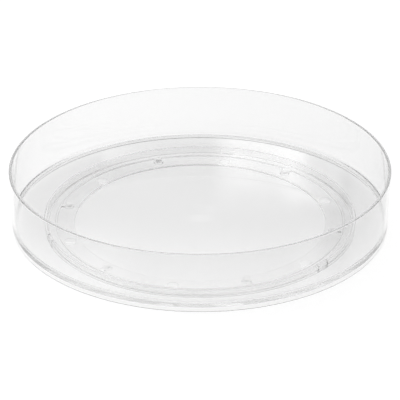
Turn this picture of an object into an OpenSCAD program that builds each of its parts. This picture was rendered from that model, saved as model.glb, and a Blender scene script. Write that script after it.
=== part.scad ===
// Clear turntable tray. A shallow round tray turns on six balls over a flat ring, its base.
// A ring under the tray's floor snaps round the base and centres it.
// Millimetres, Z up, the table at Z = 0, the turning axis on Z.

/* [Tray] */
// Outer diameter at the rim
tray_d = 280; // [260:1:320]
// Depth of the tray, from the rim down to the floor
tray_depth = 39.6; // [30:0.1:60]
// Thickness of the wall
wall_t = 2.2; // [1.6:0.1:3]
// Draft angle of the wall, which widens towards the rim
wall_draft = 1.2; // [0.5:0.1:3]
// Thickness of the floor
floor_t = 2.4; // [1.6:0.1:3.2]
// Radius of the inside fillet between the floor and the wall
fillet_r = 3; // [1:0.5:6]
// How far the skirt hangs below the underside of the floor
skirt_h = 3.6; // [2:0.1:5]
// Radius of the shallow dimple in the middle of the underside
dimple_r = 15; // [10:0.5:25]
// Depth of the dimple
dimple_depth = 0.05; // [0.05:0.05:0.3]

/* [Snap ring] */
// Thickness of the ring under the floor
ring_t = 1.7; // [1.2:0.1:2.4]
// Width of each of the ring's three sprung tongues
tongue_w = 9; // [6:0.5:14]
// Width of the slots that free a tongue
slot_w = 1; // [0.6:0.1:2]
// How far a tongue's hook reaches in under the base
hook_reach = 0.9; // [0.7:0.05:1.2]

/* [Base] */
// Outer diameter of the base
base_d = 226.4; // [226:0.2:240]
// Diameter of the base's bore
base_bore = 186; // [170:1:187]
// Thickness of the base's rim
base_t = 2.2; // [2:0.1:2.6]
// Thickness of the lip round the rim that the hooks hold
lip_t = 1.1; // [0.9:0.1:1.2]

/* [Ball bearing] */
// Diameter of a ball
ball_d = 5; // [4.5:0.1:6]
// Radius of the circle through the ball centres
pitch_r = 100; // [96:0.5:102]
// Angle of the first ball, from the X axis
ball_angle = 49; // [0:1:59]
// How far the ball track lies below the top of the base's rim
track_depth = 0.8; // [0.5:0.1:1]
// Outer diameter of the ball cage's hoop
cage_d = 214.4; // [212:0.2:216]
// Width of the hoop
hoop_w = 1.6; // [1.2:0.1:2.5]
// Thickness of the cage
cage_h = 1.2; // [1:0.1:3]
// Wall of the eye round each ball
eye_t = 1; // [0.8:0.1:1.4]
// Width of the arm from the hoop to an eye
arm_w = 4; // [2:0.5:6]

/* [Feet] */
// Diameter of an anti-slip foot
foot_d = 8; // [6:0.5:12]
// How far a foot stands out below the base
foot_gap = 1; // [0.8:0.1:1.5]
// How deep a foot is set into the base
foot_recess = 0.4; // [0.2:0.1:0.6]

/* [Hidden] */

$fn = 180;
ball_count = 6;
ball_step = 360 / ball_count;
foot_count = 6;
tongue_count = 3;
arc_steps = 8;               // straight steps in a rounded corner of a profile

play = 0.05;                 // above and below each ball
eye_play = 0.25;             // round each ball in its eye
cage_play = 0.3;             // under the cage and round it
snap_play = 0.3;             // between the ring or its hooks and the base
foot_play = 0.15;            // round a foot in its recess
foot_bevel = 0.3;
slot_land = 1;               // solid ring left above the slots
hook_lead = 0.5;             // height of a hook's slanting lead-in
cut = 1;                     // how far a cutting shape runs past what it cuts

// Heights above the table
base_bot = foot_gap;
base_top = base_bot + base_t;
lip_bot = base_top - lip_t;
track_z = base_top - track_depth;
ball_z = track_z + play + ball_d / 2;
cage_bot = track_z + cage_play;
floor_bot = ball_z + ball_d / 2 + play;
floor_top = floor_bot + floor_t;
tray_top = floor_top + tray_depth;
rim_z = tray_top - wall_t / 2;
skirt_z = floor_bot - skirt_h + wall_t / 2;
ring_bot = base_bot;
hook_top = lip_bot - snap_play;

// Radii
dimple_flat_r = dimple_r / 5;
lip_r = base_d / 2;
ring_in_r = lip_r + snap_play;
ring_out_r = ring_in_r + ring_t;
hook_r = ring_in_r - hook_reach;
cage_out_r = cage_d / 2;
hoop_in_r = cage_out_r - hoop_w;
eye_in_r = ball_d / 2 + eye_play;
eye_out_r = eye_in_r + eye_t;

clear_plastic = [0.86, 0.91, 0.93, 0.45];
cage_plastic = [0.80, 0.86, 0.90, 0.55];
ball_plastic = [0.75, 0.82, 0.88, 0.8];
foot_silicone = [0.82, 0.84, 0.84, 0.8];

// Radius of the tray's outer face at height z
function wall_r(z) = tray_d / 2 - (rim_z - z) * tan(wall_draft);

// Points on an arc from angle a to angle b round the centre c
function arc(c, r, a, b) = [
    for (i = [0 : arc_steps])
        let (t = a + (b - a) * i / arc_steps)
        c + r * [cos(t), sin(t)]
];

// Angles of ball k, of foot k, half a step before it, and of tongue k, over every second foot
function ball_at(k) = ball_angle + (k - 1) * ball_step;
function foot_at(k) = ball_at(k) - ball_step / 2;
function tongue_at(k) = foot_at(2 * k);

// A ring of rectangular section between two radii and two heights
module ring(r_in, r_out, z_bot, z_top) {
    rotate_extrude()
    translate([r_in, z_bot])
    square([r_out - r_in, z_top - z_bot]);
}

// A block w wide across the snap ring, in line with tongue k
module across_ring(k, w, z_bot, z_top) {
    rotate([0, 0, tongue_at(k)])
    translate([hook_r - cut, -w / 2, z_bot])
    cube([ring_out_r - hook_r + 2 * cut, w, z_top - z_bot]);
}

// Floor with a dimple below, and a drafted wall that ends in a round rim and a round skirt
module tray_shell() {
    fillet_z = floor_top + fillet_r;
    fillet_c = [wall_r(fillet_z) - wall_t - fillet_r, fillet_z];
    rim_c = [wall_r(rim_z) - wall_t / 2, rim_z];
    skirt_c = [wall_r(skirt_z) - wall_t / 2, skirt_z];
    profile = concat(
        [
            [0, floor_bot + dimple_depth],
            [dimple_flat_r, floor_bot + dimple_depth],
            [dimple_r, floor_bot],
            [wall_r(floor_bot) - wall_t, floor_bot]
        ],
        arc(skirt_c, wall_t / 2, 180, 360),
        arc(rim_c, wall_t / 2, 0, 180),
        arc(fillet_c, fillet_r, 0, -90),
        [[0, floor_top]]
    );
    rotate_extrude()
    polygon(profile);
}

// The ring under the floor, slotted on both sides of each tongue
module slotted_ring() {
    slot_top = floor_bot - slot_land;
    difference() {
        ring(ring_in_r, ring_out_r, ring_bot, floor_bot);
        for (k = [1 : tongue_count])
            difference() {
                across_ring(k, tongue_w + 2 * slot_w, ring_bot - cut, slot_top);
                across_ring(k, tongue_w, ring_bot - 2 * cut, slot_top + cut);
            }
    }
}

// The hooks at the tongues' lower ends, which hold the base's lip
module hooks() {
    root_r = ring_in_r + ring_t / 2;
    profile = [
        [root_r, ring_bot],
        [ring_in_r, ring_bot],
        [hook_r, ring_bot + hook_lead],
        [hook_r, hook_top],
        [root_r, hook_top]
    ];
    intersection() {
        rotate_extrude()
        polygon(profile);
        for (k = [1 : tongue_count])
            across_ring(k, tongue_w, ring_bot - cut, hook_top + cut);
    }
}

module tray() {
    color(clear_plastic)
    union() {
        tray_shell();
        slotted_ring();
        hooks();
    }
}

// Flat ring with a lip for the hooks, a lower track for the balls and six foot recesses
module base() {
    bore_r = base_bore / 2;
    below_lip_r = hook_r - snap_play;
    track_out_r = cage_out_r + cage_play;
    profile = [
        [bore_r, base_bot],
        [below_lip_r, base_bot],
        [below_lip_r, lip_bot],
        [lip_r, lip_bot],
        [lip_r, base_top],
        [track_out_r, base_top],
        [track_out_r, track_z],
        [bore_r, track_z]
    ];
    color(clear_plastic)
    difference() {
        rotate_extrude()
        polygon(profile);

        for (k = [1 : foot_count])
            rotate([0, 0, foot_at(k)])
            translate([pitch_r, 0, base_bot - cut])
            cylinder(h = foot_recess + cut, r = foot_d / 2 + foot_play);
    }
}

// Hoop with an eye for each ball, on an arm that points inwards
module ball_cage() {
    color(cage_plastic)
    difference() {
        union() {
            ring(hoop_in_r, cage_out_r, cage_bot, cage_bot + cage_h);
            for (k = [1 : ball_count])
                rotate([0, 0, ball_at(k)])
                translate([pitch_r, 0, cage_bot]) {
                    cylinder(h = cage_h, r = eye_out_r);
                    translate([0, -arm_w / 2, 0])
                    cube([hoop_in_r + hoop_w / 2 - pitch_r, arm_w, cage_h]);
                }
        }
        for (k = [1 : ball_count])
            rotate([0, 0, ball_at(k)])
            translate([pitch_r, 0, cage_bot - cut])
            cylinder(h = cage_h + 2 * cut, r = eye_in_r);
    }
}

module ball(k) {
    color(ball_plastic)
    rotate([0, 0, ball_at(k)])
    translate([pitch_r, 0, ball_z])
    sphere(d = ball_d);
}

// Anti-slip foot with a bevelled lower edge
module foot(k) {
    foot_r = foot_d / 2;
    foot_top = base_bot + foot_recess;
    profile = [
        [0, 0],
        [foot_r - foot_bevel, 0],
        [foot_r, foot_bevel],
        [foot_r, foot_top],
        [0, foot_top]
    ];
    color(foot_silicone)
    rotate([0, 0, foot_at(k)])
    translate([pitch_r, 0, 0])
    rotate_extrude()
    polygon(profile);
}

tray();
base();
ball_cage();
ball(1);  // ball_1
ball(2);  // ball_2
ball(3);  // ball_3
ball(4);  // ball_4
ball(5);  // ball_5
ball(6);  // ball_6
foot(1);  // foot_1
foot(2);  // foot_2
foot(3);  // foot_3
foot(4);  // foot_4
foot(5);  // foot_5
foot(6);  // foot_6
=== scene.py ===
"""Looks of the clear turntable tray: lathe-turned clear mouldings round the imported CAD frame."""
import math

import bmesh
import bpy
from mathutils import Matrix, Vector


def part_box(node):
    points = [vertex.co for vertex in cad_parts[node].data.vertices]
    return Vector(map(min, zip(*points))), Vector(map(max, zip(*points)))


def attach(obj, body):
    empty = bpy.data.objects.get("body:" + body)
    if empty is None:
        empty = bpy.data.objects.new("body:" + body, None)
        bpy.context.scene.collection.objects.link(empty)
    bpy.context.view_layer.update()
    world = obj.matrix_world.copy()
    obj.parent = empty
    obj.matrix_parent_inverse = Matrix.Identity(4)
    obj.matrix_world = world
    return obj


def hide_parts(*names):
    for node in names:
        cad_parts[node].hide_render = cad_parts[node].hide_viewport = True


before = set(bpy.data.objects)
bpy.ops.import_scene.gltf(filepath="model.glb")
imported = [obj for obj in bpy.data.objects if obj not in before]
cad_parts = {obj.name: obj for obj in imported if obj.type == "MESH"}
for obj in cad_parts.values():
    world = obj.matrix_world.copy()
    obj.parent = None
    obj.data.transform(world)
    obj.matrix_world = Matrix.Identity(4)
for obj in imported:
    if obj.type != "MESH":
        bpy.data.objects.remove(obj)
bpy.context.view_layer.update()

MM = 0.001

# Sizes of the mouldings that the frame's boxes don't give
WALL_T = 2.2 * MM
WALL_DRAFT = math.radians(1.2)
FLOOR_T = 2.4 * MM
FLOOR_FILLET = 3.0 * MM
SKIRT_H = 3.6 * MM
RING_T = 1.7 * MM
TONGUE_W = 9.0 * MM
SLOT_W = 1.0 * MM
SLOT_LAND = 1.0 * MM
HOOK_REACH = 0.9 * MM
HOOK_LEAD = 0.5 * MM
LIP_T = 1.1 * MM
SNAP_PLAY = 0.3 * MM
DIMPLE_R = 15.0 * MM
DIMPLE_FLAT_R = DIMPLE_R / 5
DIMPLE_DEPTH = 0.05 * MM
DIMPLE_BLEND = 400 * MM
BASE_BORE = 186 * MM
CAGE_PLAY = 0.3 * MM
HOOP_W = 1.6 * MM
EYE_T = 1.0 * MM
EYE_PLAY = 0.25 * MM
ARM_W = 4.0 * MM
BALL_PLAY = 0.05 * MM
FOOT_RECESS = 0.4 * MM
FOOT_PLAY = 0.15 * MM

# Roundings of the edges and roots, and how full the round rim and skirt are
FINE_EDGE = 0.1 * MM
EDGE = 0.15 * MM
ROOT = 0.2 * MM
CAGE_EDGE = 0.5 * MM
BORE_EDGE = 0.65 * MM
RIM_FULLNESS = 0.98
PARTING_LINE = 0.02 * MM
PARTING_ANGLE = 1
SUPPORT = 0.15 * MM
ON_AXIS = 1e-7
SHARP = math.radians(35)

BALLS = ["ball_%d" % k for k in range(1, 7)]
FEET = ["foot_%d" % k for k in range(1, 7)]
TONGUES = 3
SEGMENTS = 720
SMALL_SEGMENTS = 96
EDGE_STEPS = 6
BALL_STEPS = 24


# ---------------------------------------------------------------- outlines

def rounded(corners, support=SUPPORT):
    """Outline through (r, z, radius) corners with each corner rounded by an arc.

    A support point beside each end of an arc keeps the flats beside it flat when shaded smooth.
    """
    points = []
    count = len(corners)
    for i, (r, z, radius) in enumerate(corners):
        here = Vector((r, z))
        if radius <= 0:
            points.append(here)
            continue
        before = Vector(corners[i - 1][:2]) - here
        after = Vector(corners[(i + 1) % count][:2]) - here
        to_before = before.normalized()
        to_after = after.normalized()
        half = to_before.angle(to_after) / 2
        reach = radius / math.tan(half)
        centre = here + (to_before + to_after).normalized() * radius / math.sin(half)
        start = here + to_before * reach
        spoke = start - centre
        turn = -spoke.angle_signed(here + to_after * reach - centre)
        if reach + 2 * support < before.length / 2:
            points.append(start + to_before * support)
        for k in range(EDGE_STEPS + 1):
            points.append(centre + turned(spoke, turn * k / EDGE_STEPS))
        if reach + 2 * support < after.length / 2:
            points.append(here + to_after * (reach + support))
    return points


def turned(spoke, angle):
    """A flat vector turned anticlockwise by an angle."""
    return Vector((
        spoke.x * math.cos(angle) - spoke.y * math.sin(angle),
        spoke.x * math.sin(angle) + spoke.y * math.cos(angle),
    ))


def arc(centre, radius, start, end, steps):
    """Points on an arc round (r, z), between two angles in degrees."""
    angles = [math.radians(start + (end - start) * k / steps) for k in range(steps + 1)]
    return [Vector(centre) + radius * Vector((math.cos(a), math.sin(a))) for a in angles]


# ---------------------------------------------------------------- lathe work

def spin(bm, outline, angles, centre=(0.0, 0.0)):
    """A row of vertices for each outline point: one for each angle, or a single one on the axis."""
    rows = []
    for r, z in outline:
        stops = angles if r > ON_AXIS else angles[:1]
        rows.append([
            bm.verts.new((centre[0] + r * math.cos(a), centre[1] + r * math.sin(a), z))
            for a in stops
        ])
    return rows


def skin(bm, rows, columns):
    """Faces between each two neighbouring rows, one for each (k, next) pair of columns."""
    for low, high in zip(rows, rows[1:]):
        for k, n in columns:
            corners = [
                low[k % len(low)], low[n % len(low)],
                high[n % len(high)], high[k % len(high)],
            ]
            bm.faces.new(list(dict.fromkeys(corners)))


def round_angles(segments, first=0.0):
    return [first + 2 * math.pi * k / segments for k in range(segments)]


def round_columns(segments):
    return [(k, (k + 1) % segments) for k in range(segments)]


def smooth(mesh):
    mesh.shade_smooth()
    mesh.set_sharp_from_angle(angle=SHARP)


def finish_mesh(bm, name):
    """Turns a closed bmesh into a piece, smooth but for its sharp edges."""
    bmesh.ops.recalc_face_normals(bm, faces=bm.faces)
    mesh = bpy.data.meshes.new(name)
    bm.to_mesh(mesh)
    bm.free()
    smooth(mesh)
    piece = bpy.data.objects.new(name, mesh)
    bpy.context.scene.collection.objects.link(piece)
    return piece


def lathe(name, outline, closed=False, centre=(0.0, 0.0), segments=SEGMENTS):
    """A body of revolution about a vertical axis through centre."""
    bm = bmesh.new()
    rows = spin(bm, outline, round_angles(segments), centre)
    if closed:
        rows.append(rows[0])
    skin(bm, rows, round_columns(segments))
    return finish_mesh(bm, name)


def combine(piece, operation, tools):
    """Adds the tools' shapes to a piece or cuts them out of it, and deletes them."""
    for tool in tools:
        step = piece.modifiers.new("step", "BOOLEAN")
        step.operation = operation
        step.solver = "MANIFOLD"
        step.object = tool
    graph = bpy.context.evaluated_depsgraph_get()
    mesh = bpy.data.meshes.new_from_object(piece.evaluated_get(graph))
    old = piece.data
    piece.modifiers.clear()
    piece.data = mesh
    mesh.name = piece.name
    bpy.data.meshes.remove(old)
    for tool in tools:
        bpy.data.meshes.remove(tool.data)
    smooth(mesh)


def place(piece, material, body, node):
    """Gives a piece its material and its place in the frame."""
    piece.data.materials.clear()
    piece.data.materials.append(material)
    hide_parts(node)
    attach(piece, body)


# ---------------------------------------------------------------- materials

HAZE_SCALE = 90
HAZE_DETAIL = 4
POLISHED = (0.0, 0.03)
MATT = (0.3, 0.4)
# Tint, index of refraction, range of roughness, and light absorbed per metre
TRAY_PLASTIC = (0.91, 1.49, POLISHED, 0.7)
INNER_PLASTIC = (1.0, 1.22, POLISHED, 0.0)
BALL_PLASTIC = (1.0, 1.3, POLISHED, 0.0)
FOOT_SILICONE = (0.95, 1.41, MATT, 0.0)


def node_material(name):
    """A new material with its Principled shader: (material, node tree, shader)."""
    material = bpy.data.materials.new(name)
    material.use_nodes = True
    tree = material.node_tree
    return material, tree, tree.nodes["Principled BSDF"]


def clear_plastic(name, tint, ior, gloss, absorbed):
    """Clear moulded plastic, with a fine haze that varies its roughness over the range gloss."""
    material, tree, shader = node_material(name)
    shader.inputs["Base Color"].default_value = (tint, tint, tint, 1)
    shader.inputs["Transmission Weight"].default_value = 1
    shader.inputs["IOR"].default_value = ior
    coords = tree.nodes.new("ShaderNodeTexCoord")
    noise = tree.nodes.new("ShaderNodeTexNoise")
    noise.inputs["Scale"].default_value = HAZE_SCALE
    noise.inputs["Detail"].default_value = HAZE_DETAIL
    ramp = tree.nodes.new("ShaderNodeMapRange")
    ramp.inputs["To Min"].default_value = gloss[0]
    ramp.inputs["To Max"].default_value = gloss[1]
    tree.links.new(coords.outputs["Object"], noise.inputs["Vector"])
    tree.links.new(noise.outputs["Fac"], ramp.inputs["Value"])
    tree.links.new(ramp.outputs["Result"], shader.inputs["Roughness"])
    if absorbed:
        depth = tree.nodes.new("ShaderNodeVolumeAbsorption")
        depth.inputs["Color"].default_value = (0, 0, 0, 1)
        depth.inputs["Density"].default_value = absorbed
        tree.links.new(depth.outputs["Volume"], tree.nodes["Material Output"].inputs["Volume"])
    return material


# ---------------------------------------------------------------- places from the frame

tray_low, tray_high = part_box("tray")
base_low, base_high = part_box("base")
cage_low, cage_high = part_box("ball_cage")
ball_low, ball_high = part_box("ball_1")
foot_low, foot_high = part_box("foot_1")


def middle(node):
    """Centre of a node's box, as (x, y)."""
    low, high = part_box(node)
    return Vector(((low.x + high.x) / 2, (low.y + high.y) / 2))


floor_bot = ball_high.z + BALL_PLAY
floor_top = floor_bot + FLOOR_T
skirt_bot = floor_bot - SKIRT_H
ring_bot = tray_low.z
ring_in_r = base_high.x + SNAP_PLAY
ring_out_r = ring_in_r + RING_T
lip_bot = base_high.z - LIP_T
hook_r = ring_in_r - HOOK_REACH
hook_top = lip_bot - SNAP_PLAY
slot_top = floor_bot - SLOT_LAND
pitch_r = middle("ball_1").length
ball_r = (ball_high.z - ball_low.z) / 2
tongue_at = math.atan2(middle("foot_2").y, middle("foot_2").x)
hoop_in_r = cage_high.x - HOOP_W
eye_in_r = ball_r + EYE_PLAY
eye_out_r = eye_in_r + EYE_T
track_out_r = cage_high.x + CAGE_PLAY
track_z = ball_low.z - BALL_PLAY


def wall_r(z):
    """Radius of the tray's outer face at height z."""
    return tray_high.x - (tray_high.z - WALL_T / 2 - z) * math.tan(WALL_DRAFT)


# ---------------------------------------------------------------- pieces

def ring_path(hooked):
    """Outline of the snap ring below its slots' tops, from its inner to its outer face."""
    hook = [
        (ring_in_r, hook_top, FINE_EDGE),
        (hook_r, hook_top, FINE_EDGE),
        (hook_r, ring_bot + HOOK_LEAD, FINE_EDGE),
        (ring_in_r, ring_bot, FINE_EDGE),
    ]
    plain = [(ring_in_r, ring_bot, EDGE)]
    return rounded(
        [(ring_in_r, slot_top, 0)]
        + (hook if hooked else plain)
        + [(ring_out_r, ring_bot, EDGE), (ring_out_r, slot_top, 0)],
        support=FINE_EDGE / 2)


def make_tray(material):
    """Floor, wall and skirt turned whole; below them the snap ring, slotted beside its tongues."""
    rim = RIM_FULLNESS * WALL_T / 2
    dimple_top = floor_bot + DIMPLE_DEPTH
    under = rounded([
        (0, dimple_top, 0),
        (DIMPLE_FLAT_R, dimple_top, DIMPLE_BLEND),
        (DIMPLE_R, floor_bot, DIMPLE_BLEND),
        (ring_in_r, floor_bot, ROOT),
        (ring_in_r, slot_top, 0),
    ])
    outside = rounded([
        (ring_out_r, slot_top, 0),
        (ring_out_r, floor_bot, ROOT),
        (wall_r(floor_bot) - WALL_T, floor_bot, ROOT),
        (wall_r(skirt_bot) - WALL_T, skirt_bot, rim),
        (wall_r(skirt_bot), skirt_bot, rim),
        (wall_r(tray_high.z), tray_high.z, rim),
        (wall_r(tray_high.z) - WALL_T, tray_high.z, rim),
        (wall_r(floor_top) - WALL_T, floor_top, FLOOR_FILLET),
        (0, floor_top, 0),
    ])
    step = 2 * math.pi / SEGMENTS
    ring_r = (ring_in_r + ring_out_r) / 2
    tongue = round(TONGUE_W / (ring_r * step))
    slot = round(SLOT_W / (ring_r * step))
    plain = SEGMENTS // TONGUES - tongue - 2 * slot
    angles = round_angles(SEGMENTS, tongue_at - tongue * step / 2)

    bm = bmesh.new()
    under_rows = spin(bm, under, angles)
    outside_rows = spin(bm, outside, angles)
    skin(bm, under_rows, round_columns(SEGMENTS))
    skin(bm, outside_rows, round_columns(SEGMENTS))
    start = 0
    for width, path in TONGUES * [
            (tongue, ring_path(True)), (slot, []), (plain, ring_path(False)), (slot, [])]:
        stops = [(start + k) % SEGMENTS for k in range(width + 1)]
        rows = spin(bm, path[1:-1], [angles[k] for k in stops])
        rows.insert(0, [under_rows[-1][k] for k in stops])
        rows.append([outside_rows[0][k] for k in stops])
        skin(bm, rows, [(k, k + 1) for k in range(width)])
        if path:
            bm.faces.new([row[0] for row in rows])
            bm.faces.new([row[-1] for row in rows])
        start += width
    place(finish_mesh(bm, "clear_tray"), material, "tray", "tray")


def make_base(material):
    """Flat ring with the lip that the hooks hold, the lower ball track and the foot recesses."""
    below_lip_r = hook_r - SNAP_PLAY
    bore_r = BASE_BORE / 2
    piece = lathe("clear_base", rounded([
        (bore_r, base_low.z, BORE_EDGE),
        (below_lip_r, base_low.z, EDGE),
        (below_lip_r, lip_bot, FINE_EDGE),
        (base_high.x, lip_bot, FINE_EDGE),
        (base_high.x, base_high.z, FINE_EDGE),
        (track_out_r, base_high.z, FINE_EDGE),
        (track_out_r, track_z, FINE_EDGE),
        (bore_r, track_z, BORE_EDGE),
    ]), closed=True)
    recess_top = base_low.z + FOOT_RECESS
    recess_r = (foot_high.x - foot_low.x) / 2 + FOOT_PLAY
    cutters = [
        lathe("cutter", [(0, 0), (recess_r, 0), (recess_r, recess_top), (0, recess_top)],
              centre=middle(foot), segments=SMALL_SEGMENTS)
        for foot in FEET
    ]
    combine(piece, "DIFFERENCE", cutters)
    place(piece, material, "base", "base")


def cage_section(inner, outer):
    """Section of a part of the cage between two radii or two sides, with rounded edges."""
    return rounded([
        (inner, cage_low.z, CAGE_EDGE),
        (outer, cage_low.z, CAGE_EDGE),
        (outer, cage_high.z, CAGE_EDGE),
        (inner, cage_high.z, CAGE_EDGE),
    ])


def make_arm(ball):
    """A bar from the eye round a ball to the hoop, its ends inside them."""
    outward = middle(ball).normalized()
    sideways = Vector((-outward.y, outward.x))
    ends = (pitch_r + eye_in_r + EYE_T / 3, hoop_in_r + HOOP_W / 2)
    bm = bmesh.new()
    rows = []
    for s, z in cage_section(-ARM_W / 2, ARM_W / 2):
        spots = [outward * r + sideways * s for r in ends]
        rows.append([bm.verts.new((spot.x, spot.y, z)) for spot in spots])
    skin(bm, rows + rows[:1], [(0, 1)])
    bm.faces.new([row[0] for row in rows])
    bm.faces.new([row[1] for row in rows])
    return finish_mesh(bm, "arm")


def make_cage(material):
    """A hoop with six arms that point inwards, each ending in an eye round a ball."""
    piece = lathe("clear_cage", cage_section(hoop_in_r, cage_high.x), closed=True)
    combine(piece, "UNION", [make_arm(ball) for ball in BALLS])
    eyes = [
        lathe("eye", cage_section(eye_in_r, eye_out_r), closed=True, centre=middle(ball),
              segments=SMALL_SEGMENTS)
        for ball in BALLS
    ]
    combine(piece, "UNION", eyes)
    place(piece, material, "cage", "ball_cage")


def make_ball(node, material):
    """A moulded ball with a fine parting line round it."""
    z = (ball_low.z + ball_high.z) / 2
    outline = arc((0, z), ball_r, -90, -PARTING_ANGLE, BALL_STEPS)
    outline.append(Vector((ball_r - PARTING_LINE, z)))
    outline += arc((0, z), ball_r, PARTING_ANGLE, 90, BALL_STEPS)
    outline[0].x = outline[-1].x = 0
    piece = lathe("clear_" + node, outline, centre=middle(node), segments=SMALL_SEGMENTS)
    place(piece, material, node, node)


def make_foot(node, material):
    """A silicone dot with a rounded lower edge."""
    foot_r = (foot_high.x - foot_low.x) / 2
    outline = rounded([
        (0, foot_low.z, 0),
        (foot_r, foot_low.z, EDGE),
        (foot_r, foot_high.z, FINE_EDGE),
        (0, foot_high.z, 0),
    ])
    piece = lathe("silicone_" + node, outline, centre=middle(node), segments=SMALL_SEGMENTS)
    place(piece, material, "base", node)


# ---------------------------------------------------------------- camera, floor and light

CAMERA_ELEVATION = math.radians(26.96)
CAMERA_DISTANCE = 1.541
AIM_BELOW_RIM = 29.8 * MM
LENS = 187.4
SENSOR_W = 36
SEES_TO = 50


def make_camera():
    data = bpy.data.cameras.new("camera")
    data.lens = LENS
    data.sensor_width = SENSOR_W
    data.clip_end = SEES_TO
    camera = bpy.data.objects.new("camera", data)
    bpy.context.scene.collection.objects.link(camera)
    aim = Vector((0, 0, tray_high.z - AIM_BELOW_RIM))
    camera.location = aim + CAMERA_DISTANCE * Vector((
        0, -math.cos(CAMERA_ELEVATION), math.sin(CAMERA_ELEVATION)))
    camera.rotation_euler = (aim - camera.location).to_track_quat("-Z", "Y").to_euler()
    bpy.context.scene.camera = camera


# The floor's reach, grey and roughness, and its glow, which falls from left to right over a span
# to each side of the tray's axis; that fall is painted shade, a darker right side standing in for
# light from the left
FLOOR_REACH = 6.0
FLOOR_GREY = 0.3
FLOOR_ROUGHNESS = 0.9
GLOW_LEFT = 0.92
GLOW_RIGHT_PAINTED_SHADE = 0.87
PAINTED_SHADE_SPAN = 0.15
ROOM = 0.05
BOUNCES = 128
# Soft boxes in the studio's dome. Each has two ranges, of azimuth from the back to the right and
# of elevation: start, end, and the feather at each. Its strength comes last.
SOFT_BOXES = [
    ((0.7, 3.5, 1.1, 1.1), (20.0, 26.5, 1.1, 1.1), 0.9),
    ((0.4, 3.1, 0.6, 0.6), (26.5, 27.3, 0.6, 0.6), 0.12),
    ((-3.2, 3.5, 0.3, 0.5), (25.55, 25.95, 0.3, 0.3), 0.42),
    ((2.6, 4.9, 0.8, 0.5), (25.9, 27.0, 0.6, 0.5), 0.45),
    ((-110.0, 110.0, 20.0, 20.0), (28.6, 90.0, 2.6, 2.6), 0.35),
    ((-50.0, 50.0, 20.0, 20.0), (28.6, 29.9, 2.6, 0.2), 0.6),
    ((-9.0, -2.6, 1.0, 2.0), (27.9, 29.9, 1.6, 0.2), 0.4),
    ((3.2, 9.0, 1.0, 1.0), (28.0, 29.9, 1.6, 0.2), 0.25),
    ((-45.0, 45.0, 4.0, 4.0), (34.0, 75.0, 4.0, 4.0), 0.25),
    ((-180.0, 4.3, 1.5, 1.5), (-100.0, 100.0, 1.5, 1.5), 0.32),
    ((5.4, 180.0, 0.8, 1.5), (-100.0, 100.0, 1.5, 1.5), 0.3),
]


def math_node(tree, operation, *values):
    """A Math node on sockets or numbers, and its result."""
    node = tree.nodes.new("ShaderNodeMath")
    node.operation = operation
    for socket, value in zip(node.inputs, values):
        if isinstance(value, (int, float)):
            socket.default_value = value
        else:
            tree.links.new(value, socket)
    return node.outputs[0]


def fade(tree, value, start, end):
    """0 to 1 as value goes from start to end, smoothly; start above end fades out."""
    ramp = tree.nodes.new("ShaderNodeMapRange")
    ramp.interpolation_type = "SMOOTHSTEP"
    ramp.inputs["From Min"].default_value = min(start, end)
    ramp.inputs["From Max"].default_value = max(start, end)
    ramp.inputs["To Min"].default_value = 0 if start < end else 1
    ramp.inputs["To Max"].default_value = 1 if start < end else 0
    tree.links.new(value, ramp.inputs["Value"])
    return ramp.outputs["Result"]


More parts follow.
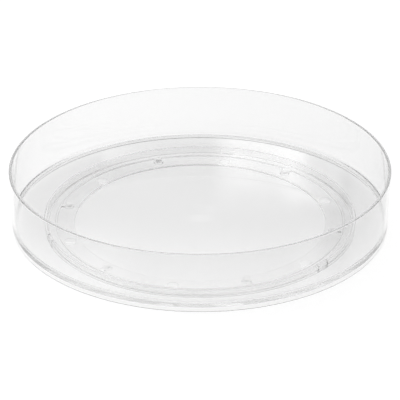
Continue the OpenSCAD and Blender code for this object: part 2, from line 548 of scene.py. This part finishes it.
def make_floor():
    """A pale light table: its own glow keeps it white under and round the tray, and fades towards
    the right as painted shade.
    """
    material, tree, shader = node_material("pale_floor")
    shader.inputs["Base Color"].default_value = (FLOOR_GREY, FLOOR_GREY, FLOOR_GREY, 1)
    shader.inputs["Roughness"].default_value = FLOOR_ROUGHNESS
    shader.inputs["Specular IOR Level"].default_value = 0
    shader.inputs["Emission Color"].default_value = (1, 1, 1, 1)
    coords = tree.nodes.new("ShaderNodeTexCoord")
    split = tree.nodes.new("ShaderNodeSeparateXYZ")
    tree.links.new(coords.outputs["Object"], split.inputs["Vector"])
    # Painted shade: the glow, and so the floor's white, fades towards the right across the span
    painted_shade_rightward = fade(tree, split.outputs["X"], -PAINTED_SHADE_SPAN, PAINTED_SHADE_SPAN)
    painted_shade_fall = math_node(tree, "MULTIPLY", GLOW_RIGHT_PAINTED_SHADE - GLOW_LEFT, painted_shade_rightward)
    glow = math_node(tree, "ADD", GLOW_LEFT, painted_shade_fall)
    tree.links.new(glow, shader.inputs["Emission Strength"])
    mesh = bpy.data.meshes.new("floor")
    corners = [
        (x * FLOOR_REACH, y * FLOOR_REACH, 0) for x, y in ((-1, -1), (1, -1), (1, 1), (-1, 1))]
    mesh.from_pydata(corners, [], [(0, 1, 2, 3)])
    floor = bpy.data.objects.new("floor", mesh)
    mesh.materials.append(material)
    bpy.context.scene.collection.objects.link(floor)


def make_world():
    """An even room with soft boxes, each a feathered patch of the dome."""
    world = bpy.data.worlds.new("studio")
    bpy.context.scene.world = world
    world.use_nodes = True
    tree = world.node_tree
    coords = tree.nodes.new("ShaderNodeTexCoord")
    split = tree.nodes.new("ShaderNodeSeparateXYZ")
    tree.links.new(coords.outputs["Generated"], split.inputs["Vector"])
    azimuth = math_node(tree, "ARCTAN2", split.outputs["X"], split.outputs["Y"])
    elevation = math_node(tree, "ARCSINE", split.outputs["Z"])
    light = ROOM
    for around, above, strength in SOFT_BOXES:
        patch = strength
        for angle, limits in ((azimuth, around), (elevation, above)):
            start, end, soft_start, soft_end = [math.radians(limit) for limit in limits]
            rise = fade(tree, angle, start - soft_start / 2, start + soft_start / 2)
            fall = fade(tree, angle, end + soft_end / 2, end - soft_end / 2)
            patch = math_node(tree, "MULTIPLY", patch, math_node(tree, "MULTIPLY", rise, fall))
        light = math_node(tree, "ADD", light, patch)
    background = tree.nodes["Background"]
    background.inputs["Color"].default_value = (1, 1, 1, 1)
    tree.links.new(light, background.inputs["Strength"])


def make_render_look():
    scene = bpy.context.scene
    scene.view_settings.view_transform = "Standard"
    scene.cycles.use_denoising = True
    scene.cycles.max_bounces = BOUNCES
    scene.cycles.transmission_bounces = BOUNCES
    scene.cycles.glossy_bounces = BOUNCES


make_camera()
make_floor()
make_world()
make_render_look()
make_tray(clear_plastic("tray_plastic", *TRAY_PLASTIC))
make_base(clear_plastic("base_plastic", *INNER_PLASTIC))
make_cage(clear_plastic("cage_plastic", *INNER_PLASTIC))
ball_plastic = clear_plastic("ball_plastic", *BALL_PLASTIC)
for ball in BALLS:
    make_ball(ball, ball_plastic)
silicone = clear_plastic("foot_silicone", *FOOT_SILICONE)
for foot in FEET:
    make_foot(foot, silicone)
